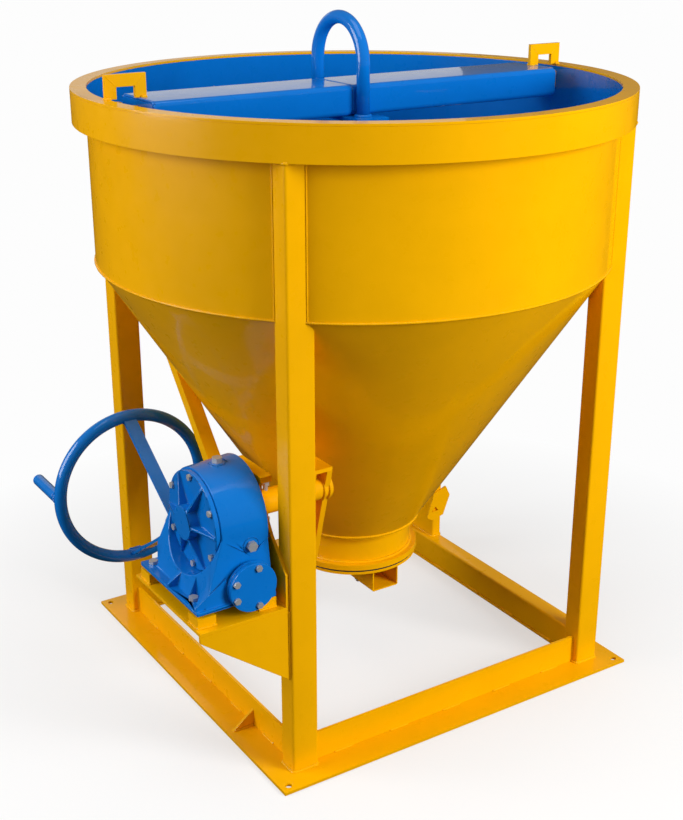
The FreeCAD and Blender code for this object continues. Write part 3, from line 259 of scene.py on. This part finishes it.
SLOT_FINISH = {
    "yellow_paint": "yellow",
    "blue_paint": "blue",
    "blue_casting": "casting",
    "zinc_steel": "zinc",
    "bearing_steel": "steel",
    "bronze": "bronze",
    "seal_rubber": "rubber",
}
NODE_SLOT = {row["node"]: row["material_slot"] for row in frame["record"]["subparts"]}
ROUND_NODES = ("handwheel_ring", "lifting_bail")
# Faces with ribs standing on them keep their triangles
RIBBED_NODES = ("gearbox_side_cover", "gearbox_housing")
PLAIN_NODES = ("worm_shaft", "worm_wheel", "gearbox_bearings", "shaft_seals")


def soften(node, width):
    """Joins the facets of a node and rounds its sharp edges, without changing its mesh."""
    piece = NODES[node]
    normals = piece.data.attributes.get("custom_normal")
    if normals:
        piece.data.attributes.remove(normals)
    piece.data.polygons.foreach_set("use_smooth", [True] * len(piece.data.polygons))
    weld = piece.modifiers.new("Join facets", "WELD")
    weld.merge_threshold = 0.01 * MM
    if node in ROUND_NODES:
        return
    if node not in RIBBED_NODES:
        flat = piece.modifiers.new("Merge flats", "DECIMATE")
        flat.decimate_type = "DISSOLVE"
        flat.angle_limit = math.radians(0.2)
        flat.delimit = {"MATERIAL"}
    if width > 0:
        edge = piece.modifiers.new("Round edges", "BEVEL")
        edge.width = width
        edge.segments = 2
        edge.limit_method = "ANGLE"
        edge.angle_limit = math.radians(35)
        edge.use_clamp_overlap = False
        edge.harden_normals = True
    split = piece.modifiers.new("Keep corners", "EDGE_SPLIT")
    split.split_angle = math.radians(40)


def paint_node(node):
    piece = NODES[node]
    piece.data.materials.clear()
    piece.data.materials.append(MATERIALS[SLOT_FINISH[NODE_SLOT[node]]])


def paint_inside(node):
    """Blue on the faces that look towards the hopper's axis."""
    mesh = NODES[node].data
    mesh.materials.append(MATERIALS["blue"])
    for face in mesh.polygons:
        centre = face.center
        if face.normal.x * centre.x + face.normal.y * centre.y < -0.2 * math.hypot(centre.x, centre.y):
            face.material_index = 1


class BUCKET_OT_finish_nodes(bpy.types.Operator):
    """Give every carried-over piece its finish and soft edges"""

    bl_idname = "bucket.finish_nodes"
    bl_label = "Finish the steel pieces"

    def execute(self, context):
        sizes = context.scene.bucket_sizes
        make_materials()
        for node in NODES:
            paint_node(node)
            cast = NODE_SLOT[node] == "blue_casting"
            width = 0 if node in PLAIN_NODES else sizes.casting_edge if cast else sizes.plate_edge
            soften(node, width)
        for node in ("hopper_cylinder", "hopper_cone", "throat_ring", "outlet_throat"):
            paint_inside(node)
        return {"FINISHED"}


def mesh_piece(name, points, faces, finish, body, smooth=True):
    mesh = bpy.data.meshes.new(name)
    mesh.from_pydata([tuple(p) for p in points], [], faces)
    mesh.update()
    mesh.polygons.foreach_set("use_smooth", [smooth] * len(mesh.polygons))
    mesh.materials.append(MATERIALS[finish])
    piece = bpy.data.objects.new(name, mesh)
    bpy.context.scene.collection.objects.link(piece)
    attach(piece, body)
    return piece


def resample(path, step, closed):
    """Points evenly spaced along a path of straight runs."""
    corners = [Vector(p) for p in path]
    if closed:
        corners.append(corners[0])
    lengths = [(b - a).length for a, b in zip(corners, corners[1:])]
    count = max(4, round(sum(lengths) / step))
    gap = sum(lengths) / count
    points = []
    span, used = 0, 0.0
    for index in range(count if closed else count + 1):
        want = index * gap
        while span < len(lengths) - 1 and used + lengths[span] < want:
            used += lengths[span]
            span += 1
        share = min(1.0, (want - used) / max(lengths[span], 1e-9))
        points.append(corners[span].lerp(corners[span + 1], share))
    return points


BEAD_SIDES = 7


def bead_mesh(path, radius, closed, seed):
    """Points and faces of one rippled weld bead that follows a path."""
    rng = random.Random(seed)
    pitch = bpy.context.scene.bucket_sizes.ripple
    line = resample(path, pitch / 3, closed)
    points, faces = [], []
    count = len(line)
    drift = 0.0
    for index, centre in enumerate(line):
        before = line[index - 1] if index or closed else line[0]
        after = line[(index + 1) % count] if index < count - 1 or closed else line[-1]
        along = (after - before).normalized()
        side = along.cross(Vector((0, 0, 1)))
        if side.length < 0.05:
            side = along.cross(Vector((1, 0, 0)))
        side.normalize()
        up = side.cross(along)
        drift = 0.85 * drift + rng.uniform(-0.05, 0.05)
        size = radius * (1 + 0.13 * math.cos(math.tau * index / 3) + drift)
        if not closed and index in (0, count - 1):
            size *= 0.45
        for k in range(BEAD_SIDES):
            angle = math.tau * k / BEAD_SIDES
            points.append(centre + size * (math.cos(angle) * side + math.sin(angle) * up))
    rings = count if closed else count - 1
    for index in range(rings):
        following = (index + 1) % count
        for k in range(BEAD_SIDES):
            other = (k + 1) % BEAD_SIDES
            faces.append((index * BEAD_SIDES + k, index * BEAD_SIDES + other,
                          following * BEAD_SIDES + other, following * BEAD_SIDES + k))
    if not closed:
        faces.append(tuple(reversed(range(BEAD_SIDES))))
        faces.append(tuple((count - 1) * BEAD_SIDES + k for k in range(BEAD_SIDES)))
    return points, faces


def beads(name, paths, radius, finish, body):
    """Several weld beads as one piece; each path is (points, closed)."""
    points, faces = [], []
    for number, (path, closed) in enumerate(paths):
        more, quads = bead_mesh(path, radius, closed, f"{name} {number}")
        start = len(points)
        points += more
        faces += [tuple(start + k for k in face) for face in quads]
    return mesh_piece(name, points, faces, finish, body)


def circle(radius, height, count=96, x=0.0, y=0.0):
    """A level circle of points."""
    turns = [math.tau * k / count for k in range(count)]
    return [Vector((x + radius * math.cos(turn), y + radius * math.sin(turn), height)) for turn in turns]


def ring_about(axis, radius, centre, count=40):
    """A circle of points about a line along x or y."""
    first = Vector((0, 1, 0)) if axis == "x" else Vector((1, 0, 0))
    second = Vector((0, 0, 1))
    turns = [math.tau * k / count for k in range(count)]
    return [Vector(centre) + radius * (math.cos(turn) * first + math.sin(turn) * second) for turn in turns]


def rectangle(low, high, height, corner=0.0):
    """A closed rectangle on a level plane, with cut corners."""
    c = corner
    return [Vector(p) for p in (
        (low.x + c, low.y, height), (high.x - c, low.y, height), (high.x, low.y + c, height),
        (high.x, high.y - c, height), (high.x - c, high.y, height), (low.x + c, high.y, height),
        (low.x, high.y - c, height), (low.x, low.y + c, height))]


def run(start, end):
    """One straight bead between two places."""
    return [Vector(start), Vector(end)], False


def stitches(start, end, long, pitch):
    """Short straight beads spaced along a line, as a welder lays them to keep a plate flat."""
    start, end = Vector(start), Vector(end)
    whole = (end - start).length
    along = (end - start) / whole
    count = max(1, int((whole - long) / pitch) + 1)
    first = (whole - (count - 1) * pitch - long) / 2
    places = [first + index * pitch for index in range(count)]
    return [run(start + place * along, start + (place + long) * along) for place in places]


class BUCKET_OT_hopper_welds(bpy.types.Operator):
    """Add the seam beads of the hopper, rim, lugs and outlet"""

    bl_idname = "bucket.hopper_welds"
    bl_label = "Weld the hopper"

    def execute(self, context):
        sizes = context.scene.bucket_sizes
        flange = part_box("outlet_flange")
        for name, radius, height, bead, finish in (
                ("hopper_seam_bead", SHELL_RADIUS, SEAM_HEIGHT, sizes.seam_bead, "yellow"),
                ("hopper_inner_seam_bead", INNER_RADIUS, SEAM_HEIGHT, sizes.seam_bead, "blue"),
                ("rim_fillet_bead", SHELL_RADIUS, RIM_LOW, sizes.fillet_bead, "yellow")):
            beads(name, [(circle(radius, height, 180), True)], bead, finish, "frame")
        beads("throat_fillet_bead", [
            (circle(THROAT_RADIUS + 1 * MM, flange[1].z + 1 * MM, 90), True),
            (circle(THROAT_RADIUS + 0.5 * MM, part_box("throat_ring")[0].z, 90), True),
            (circle(FOOT_RADIUS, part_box("throat_ring")[1].z, 90), True),
        ], sizes.fillet_bead, "yellow", "frame")
        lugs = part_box("rim_lugs")
        feet, mitres = [], []
        for side in (-1, 1):
            outer = side * lugs[1].x
            inner = outer - side * LUG_LONG
            under = lugs[1].z - LUG_BAR
            for y in (-LUG_HALF_THICK - 1 * MM, LUG_HALF_THICK + 1 * MM):
                edge = math.copysign(LUG_HALF_THICK - 0.6 * MM, y)
                for end, inward, foot in ((outer, -side, 14 * MM), (inner, side, 16 * MM)):
                    feet.append(run((end, y, RIM_HIGH + 1 * MM), (end + inward * foot, y, RIM_HIGH + 1 * MM)))
                    mitres.append(run((end + inward * 2 * MM, edge, lugs[1].z - 2 * MM),
                                      (end + inward * LUG_BAR, edge, under)))
        beads("lug_foot_beads", feet, sizes.fillet_bead, "yellow", "frame")
        beads("lug_mitre_beads", mitres, 1.4 * MM, "yellow", "frame")
        return {"FINISHED"}


class BUCKET_OT_leg_welds(bpy.types.Operator):
    """Add the beads round the legs' feet and heads and along the hopper"""

    bl_idname = "bucket.leg_welds"
    bl_label = "Weld the legs"

    def execute(self, context):
        sizes = context.scene.bucket_sizes
        paths, seams = [], []
        for name in ("leg_front", "leg_right", "leg_left", "leg_back"):
            low, high = (corner.copy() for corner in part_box(name))
            paths.append((rectangle(low, high, SOLE_TOP, 5 * MM), True))
            paths.append((rectangle(low, high, RIM_LOW, 5 * MM), True))
            # Where each outer face meets the round shell
            side_x = math.copysign(1, low.x + high.x)
            side_y = math.copysign(1, low.y + high.y)
            out = high.x if side_x > 0 else -low.x
            reach = math.sqrt(SHELL_RADIUS ** 2 - out ** 2)
            for x, y in ((side_x * reach, side_y * out), (side_x * out, side_y * reach)):
                seams.append(run((x, y, SEAM_HEIGHT), (x, y, RIM_LOW)))
        beads("leg_foot_and_head_beads", paths, sizes.fillet_bead, "yellow", "frame")
        beads("leg_shell_beads", seams, sizes.seam_bead * 0.8, "yellow", "frame")
        return {"FINISHED"}


class BUCKET_OT_base_welds(bpy.types.Operator):
    """Add the beads of the rails, the toe gusset, the rear post and its bracket"""

    bl_idname = "bucket.base_welds"
    bl_label = "Weld the base"

    def execute(self, context):
        sizes = context.scene.bucket_sizes
        rise = 2 * MM
        floor = SOLE_TOP + 1 * MM
        corners, floors = [], []
        for name, level in (("rail_front_right", "x"), ("rail_back_left", "x"), ("rail_front_left", "y"),
                            ("rail_back_right", "y")):
            low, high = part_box(name)
            for first, second in ((low, high), (high, low)):
                # A bead up each end, on the outer and on the inner face, and stitches on the sole
                far = (first.x, second.y) if level == "x" else (second.x, first.y)
                for x, y in ((first.x, first.y), far):
                    corners.append(run((x, y, SOLE_TOP + rise), (x, y, high.z - rise)))
                start = (low.x, first.y, floor) if level == "x" else (first.x, low.y, floor)
                end = (high.x, first.y, floor) if level == "x" else (first.x, high.y, floor)
                floors += stitches(start, end, STITCH_LONG, STITCH_PITCH)
        beads("rail_end_beads", corners, sizes.seam_bead, "yellow", "frame")
        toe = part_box("toe_gusset")
        for y in (toe[0].y, toe[1].y):
            floors.append(run((toe[0].x + 3 * MM, y, floor), (toe[1].x, y, floor)))
        beads("sole_stitch_beads", floors, sizes.seam_bead, "yellow", "frame")
        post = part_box("rear_post")
        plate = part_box("post_bracket")
        joints = [(rectangle(post[0], post[1], post[0].z, 5 * MM), True)]
        for x in (post[0].x, post[1].x):
            joints.append(run((x, plate[1].y, plate[0].z + 14 * MM), (x, plate[1].y, plate[1].z - 22 * MM)))
        beads("post_beads", joints, sizes.fillet_bead, "yellow", "frame")
        return {"FINISHED"}


class BUCKET_OT_beam_welds(bpy.types.Operator):
    """Add the beads of the cross beam, its end plates, its splice and the lifting bail"""

    bl_idname = "bucket.beam_welds"
    bl_label = "Weld the beam and bail"

    def execute(self, context):
        sizes = context.scene.bucket_sizes
        low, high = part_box("beam_left")[0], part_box("beam_right")[1]
        splice = (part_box("beam_left")[1].x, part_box("beam_right")[0].x)
        half, corner, edge = high.y, 12 * MM, 2.5 * MM

        def outline(x, inset):
            return [Vector((x, y, z)) for y, z in (
                (-half + corner, low.z + inset), (half - corner, low.z + inset),
                (half - inset, low.z + corner), (half - inset, high.z - corner),
                (half - corner, high.z - inset), (-half + corner, high.z - inset),
                (-half + inset, high.z - corner), (-half + inset, low.z + corner))]

        ends = [(outline(x, edge), True) for x in (low.x - 1 * MM, high.x + 1 * MM)]
        beads("beam_end_beads", ends, sizes.seam_bead, "blue", "frame")
        middle = [(outline(x, edge), True) for x in splice]
        beads("beam_splice_beads", middle, sizes.seam_bead, "blue", "frame")
        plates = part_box("beam_plates")
        webs = []
        for side in (-1, 1):
            for y in (-6 * MM, 6 * MM):
                for x in (side * plates[1].x, side * (INNER_RADIUS - 1 * MM)):
                    webs.append(run((x, y, plates[0].z + 4 * MM), (x, y, plates[0].z + 48 * MM)))
        beads("web_beads", webs, sizes.seam_bead, "yellow", "frame")
        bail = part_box("lifting_bail")
        bar = (bail[1].x - bail[0].x) / 2
        x = (bail[0].x + bail[1].x) / 2
        feet, contact = [], []
        for side in (-1, 1):
            centre = side * (half + bar + 0.3 * MM)
            feet.append((circle(bar + 1 * MM, bail[0].z + 1 * MM, 30, x, centre), True))
            for turn in (-1, 1):
                place_x, place_y = x + turn * 7 * MM, side * (half + 1.5 * MM)
                contact.append(run((place_x, place_y, low.z + 12 * MM), (place_x, place_y, high.z - 12 * MM)))
        beads("bail_foot_beads", feet, sizes.fillet_bead, "blue", "frame")
        beads("bail_side_beads", contact, sizes.seam_bead, "blue", "frame")
        return {"FINISHED"}


class BUCKET_OT_shelf_welds(bpy.types.Operator):
    """Add the beads of the gearbox shelf, its gusset and strut, the bearing plate and the blocks"""

    bl_idname = "bucket.shelf_welds"
    bl_label = "Weld the gearbox shelf"

    def execute(self, context):
        sizes = context.scene.bucket_sizes
        shelf, gusset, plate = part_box("gearbox_shelf"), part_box("shelf_gusset"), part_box("bearing_plate")
        top = shelf[1].z + 1 * MM
        paths = []
        for x in (LEG_FACE, LEG_FACE - BEARING_PLATE_THICK):
            paths.append(run((x, shelf[0].y + 4 * MM, top), (x, plate[1].y, top)))
        for y in (gusset[0].y, gusset[1].y):
            paths.append(run((LEG_FACE, y, gusset[0].z + 3 * MM), (LEG_FACE, y, gusset[1].z - 3 * MM)))
            paths.append(run((shelf[0].x + 6 * MM, gusset[1].y, shelf[0].z),
                             (LEG_FACE, gusset[1].y, shelf[0].z)))
        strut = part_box("shelf_strut")
        near = Vector((STRUT_LEFT, strut[0].y, 0))
        far = Vector((STRUT_RIGHT, strut[0].y + STRUT_FOOT_DEEP, 0))
        paths.append((rectangle(near, far, top, 2 * MM), True))
        beads("shelf_beads", paths, sizes.seam_bead, "yellow", "frame")
        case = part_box("gearbox_housing")
        feet = []
        for x in (case[0].x, CASE_BACK - BLOCK_SIDE):
            for y in (case[0].y, case[1].y - BLOCK_SIDE):
                far = Vector((x + BLOCK_SIDE, y + BLOCK_SIDE, 0))
                feet.append((rectangle(Vector((x, y, 0)), far, top, 2 * MM), True))
        beads("block_beads", feet, sizes.seam_bead * 0.8, "yellow", "frame")
        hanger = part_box("shaft_hanger")
        shaft = [(ring_about("x", BUSH_BEAD_RING, (x, SHAFT_Y, SHAFT_Z)), True)
                 for x in (hanger[0].x, hanger[1].x, LEG_FACE)]
        beads("bush_beads", shaft, 2 * MM, "yellow", "frame")
        return {"FINISHED"}


class BUCKET_OT_gate_welds(bpy.types.Operator):
    """Add the beads of the swing arm, its torque tube and the gate's tube"""

    bl_idname = "bucket.gate_welds"
    bl_label = "Weld the gate arm"

    def execute(self, context):
        sizes = context.scene.bucket_sizes
        right, left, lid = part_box("gate_arm_right"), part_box("gate_arm_left"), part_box("gate_arm_top")
        rings = [(ring_about("x", TUBE_BEAD_RING, (x, SHAFT_Y, SHAFT_Z)), True)
                 for x in (right[0].x, right[1].x, left[0].x, left[1].x)]
        beads("torque_tube_beads", rings, sizes.seam_bead, "yellow", "gate")
        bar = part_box("gate_cross_bar")
        loops = []
        low, high = bar
        for x in (low.x, high.x):
            around = ((low.y, low.z), (high.y, low.z), (high.y, high.z), (low.y, high.z))
            loops.append(([Vector((x, y, z)) for y, z in around], True))
        for x in (right[1].x, left[0].x):
            loops.append(run((x, lid[0].y + 4 * MM, lid[0].z), (x, lid[1].y - 4 * MM, lid[0].z)))
        beads("gate_arm_beads", loops, 2.4 * MM, "yellow", "gate")
        return {"FINISHED"}


class BUCKET_OT_wheel_welds(bpy.types.Operator):
    """Add the beads where the spokes, the rim seam and the crank pin are welded"""

    bl_idname = "bucket.wheel_welds"
    bl_label = "Weld the handwheel"

    def execute(self, context):
        sizes = context.scene.bucket_sizes
        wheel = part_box("handwheel_ring")
        centre = (wheel[0] + wheel[1]) / 2
        bar = (wheel[1].y - wheel[0].y) / 2
        radius = (wheel[1].x - wheel[0].x) / 2 - bar
        # The bar was bent from one length. Its ends meet at the lower right
        turn = math.radians(-48)
        outward = Vector((math.cos(turn), 0, math.sin(turn)))
        seam = centre + radius * outward
        across = Vector((0, 1, 0))
        around = [math.tau * k / 24 for k in range(24)]
        loop = [seam + (bar - 0.8 * MM) * (math.cos(a) * outward + math.sin(a) * across) for a in around]
        beads("wheel_seam_bead", [(loop, True)], 2 * MM, "blue", "handwheel")
        joints = []
        for side in (-1, 1):
            z = centre.z + side * (radius - bar + 1 * MM)
            for y in (centre.y - 8 * MM, centre.y + 7 * MM):
                joints.append(run((centre.x - 17 * MM, y, z), (centre.x + 17 * MM, y, z)))
            z = centre.z + side * 25 * MM
            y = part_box("handwheel_hub")[0].y + 22 * MM
            joints.append(run((centre.x - 15 * MM, y - 1 * MM, z), (centre.x + 15 * MM, y - 1 * MM, z)))
        beads("spoke_beads", joints, sizes.seam_bead, "blue", "handwheel")
        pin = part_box("crank_pin")
        place = ((pin[0].x + pin[1].x) / 2, centre.y + bar - 1 * MM, (pin[0].z + pin[1].z) / 2)
        around_pin = [(ring_about("y", PIN_BEAD_RING, place, 30), True)]
        beads("crank_pin_bead", around_pin, 2.4 * MM, "blue", "handwheel")
        return {"FINISHED"}


def white_floor():
    """A floor that the camera sees as paper white, with the soft shadows kept."""
    mesh = bpy.data.meshes.new("floor")
    reach = 12.0
    corners = [(-reach, -reach, 0), (reach, -reach, 0), (reach, reach, 0), (-reach, reach, 0)]
    mesh.from_pydata(corners, [], [(0, 1, 2, 3)])
    floor = bpy.data.objects.new("floor", mesh)
    floor.location.z = -0.2 * MM
    bpy.context.scene.collection.objects.link(floor)
    material, tree = new_material("studio_floor")
    path = add(tree, "ShaderNodeLightPath")
    pale = add(tree, "ShaderNodeBsdfDiffuse", [("Color", linear("#F4F4F4"))])
    # Light that leaves the floor for the object is dimmer, so that the cone keeps its dark underside
    dim = add(tree, "ShaderNodeBsdfDiffuse", [("Color", linear("#303030"))])
    glow = add(tree, "ShaderNodeEmission", [("Color", linear("#FDFDFD")), ("Strength", 1.0)])
    # The shadows fade out 1.6 m from the middle, so the floor meets the background without a line
    place = add(tree, "ShaderNodeTexCoord").outputs["Object"]
    far = add(tree, "ShaderNodeVectorMath", [(0, place)], operation="LENGTH")
    share = add(tree, "ShaderNodeMapRange", [
        ("Value", far.outputs["Value"]), ("From Min", 0.7), ("From Max", 1.6),
        ("To Min", 0.55), ("To Max", 1.0)])
    shown = add(tree, "ShaderNodeMixShader", [
        (0, share.outputs["Result"]), (1, pale.outputs[0]), (2, glow.outputs[0])])
    both = add(tree, "ShaderNodeMixShader", [(0, path.outputs["Is Camera Ray"]), (1, dim.outputs[0]),
                                             (2, shown.outputs[0])])
    finish_material(tree, both)
    mesh.materials.append(material)


def white_world():
    """A white background for the camera and a dimmer one for the object."""
    world = bpy.data.worlds.new("studio")
    world.use_nodes = True
    tree = world.node_tree
    tree.nodes.clear()
    path = add(tree, "ShaderNodeLightPath")
    around = add(tree, "ShaderNodeBackground", [("Color", (1, 1, 1, 1)), ("Strength", 0.26)])
    mirrored = add(tree, "ShaderNodeBackground", [("Color", (1, 1, 1, 1)), ("Strength", 0.12)])
    white = add(tree, "ShaderNodeBackground", [("Color", linear("#FDFDFD")), ("Strength", 1.0)])
    light = add(tree, "ShaderNodeMixShader", [(0, path.outputs["Is Glossy Ray"]), (1, around.outputs[0]),
                                              (2, mirrored.outputs[0])])
    both = add(tree, "ShaderNodeMixShader", [(0, path.outputs["Is Camera Ray"]), (1, light.outputs[0]),
                                             (2, white.outputs[0])])
    add(tree, "ShaderNodeOutputWorld", [("Surface", both.outputs[0])])
    bpy.context.scene.world = world


class BUCKET_OT_stage(bpy.types.Operator):
    """Add the floor, the lamps and the camera"""

    bl_idname = "bucket.stage"
    bl_label = "Set up the studio"

    def execute(self, context):
        scene = context.scene
        scene.view_settings.view_transform = "Standard"
        camera = bpy.data.objects.new("camera", bpy.data.cameras.new("camera"))
        scene.collection.objects.link(camera)
        camera.location = CAMERA_PLACE
        camera.rotation_euler = (math.pi / 2 - CAMERA_DOWN, 0.0, CAMERA_TURN)
        camera.data.lens = CAMERA_LENS
        camera.data.clip_end = 60
        scene.camera = camera
        white_floor()
        white_world()
        studio = scene.bucket_studio
        aim = Vector((0, 0, 0.9))
        for name, place, wide, high, power in (
                ("key", (1.7, -3.95, 2.3), 1.8, 2.6, studio.key),
                ("fill", (-3.8, 1.0, 2.2), 2.6, 2.6, studio.fill),
                ("top", (-0.4, -0.8, 4.4), 2.4, 2.4, studio.top),
                ("back", (1.2, 4.8, 2.4), 5.0, 2.0, studio.back)):
            lamp = bpy.data.objects.new(name, bpy.data.lights.new(name, "AREA"))
            lamp.data.shape = "RECTANGLE"
            lamp.data.size = wide
            lamp.data.size_y = high
            lamp.data.energy = power
            lamp.location = place
            lamp.rotation_euler = (aim - Vector(place)).to_track_quat("-Z", "Y").to_euler()
            # The key would mirror itself in the flat legs and whiten their yellow
            lamp.visible_glossy = name != "key"
            scene.collection.objects.link(lamp)
        return {"FINISHED"}


class BUCKET_PT_panel(bpy.types.Panel):
    """Steps of the bucket's finish"""

    bl_label = "Concrete Bucket"
    bl_idname = "BUCKET_PT_panel"
    bl_space_type = "VIEW_3D"
    bl_region_type = "UI"
    bl_category = "Bucket"

    def draw(self, context):
        for step in STEPS:
            self.layout.operator(step)


STEPS = (
    "bucket.stage", "bucket.finish_nodes", "bucket.hopper_welds", "bucket.leg_welds", "bucket.base_welds",
    "bucket.beam_welds", "bucket.shelf_welds", "bucket.gate_welds", "bucket.wheel_welds",
)
CLASSES = (
    BucketSizes, BucketPaint, BucketStudio, BUCKET_OT_finish_nodes, BUCKET_OT_hopper_welds,
    BUCKET_OT_leg_welds, BUCKET_OT_base_welds, BUCKET_OT_beam_welds, BUCKET_OT_shelf_welds,
    BUCKET_OT_gate_welds, BUCKET_OT_wheel_welds, BUCKET_OT_stage, BUCKET_PT_panel,
)


def register():
    for kind in CLASSES:
        bpy.utils.register_class(kind)
    bpy.types.Scene.bucket_sizes = bpy.props.PointerProperty(type=BucketSizes)
    bpy.types.Scene.bucket_paint = bpy.props.PointerProperty(type=BucketPaint)
    bpy.types.Scene.bucket_studio = bpy.props.PointerProperty(type=BucketStudio)


def unregister():
    del bpy.types.Scene.bucket_studio
    del bpy.types.Scene.bucket_paint
    del bpy.types.Scene.bucket_sizes
    for kind in reversed(CLASSES):
        bpy.utils.unregister_class(kind)


def main():
    register()
    for step in STEPS:
        group, name = step.split(".")
        getattr(getattr(bpy.ops, group), name)()


if __name__ == "__main__":
    main()
